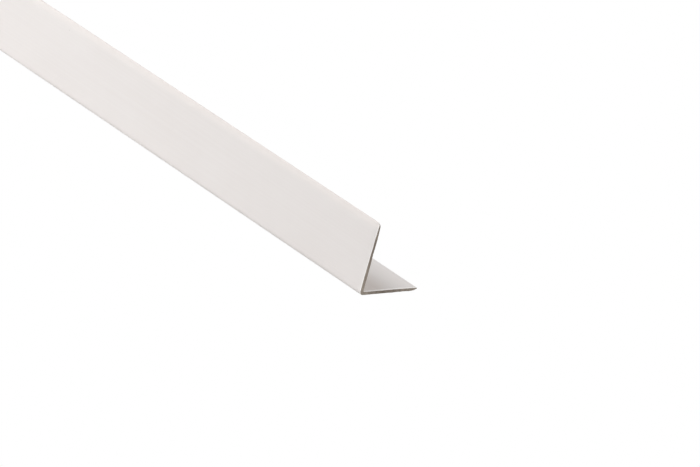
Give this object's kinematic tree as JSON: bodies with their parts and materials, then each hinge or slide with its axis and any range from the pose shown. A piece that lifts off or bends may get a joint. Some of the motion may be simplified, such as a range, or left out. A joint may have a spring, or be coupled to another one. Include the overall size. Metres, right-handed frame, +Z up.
{
  "type": "pvc corner strip",
  "caption": "Equal-leg angle of white PVC that is bonded over an outside corner as a finishing and protective trim.",
  "frame": {"origin": "on the floor under the middle of the flat leg, midway along the strip", "axes": "+X along the strip, +Y from the standing leg towards the flat leg's tip, +Z up the standing leg"},
  "size_m": [1, 0.025, 0.025],
  "materials": {
    "white_pvc": "satin white rigid PVC, smooth from the die, with sawn ends"
  },
  "bodies": {
    "root": {"corner_strip": "white_pvc"}
  },
  "joints": []
}
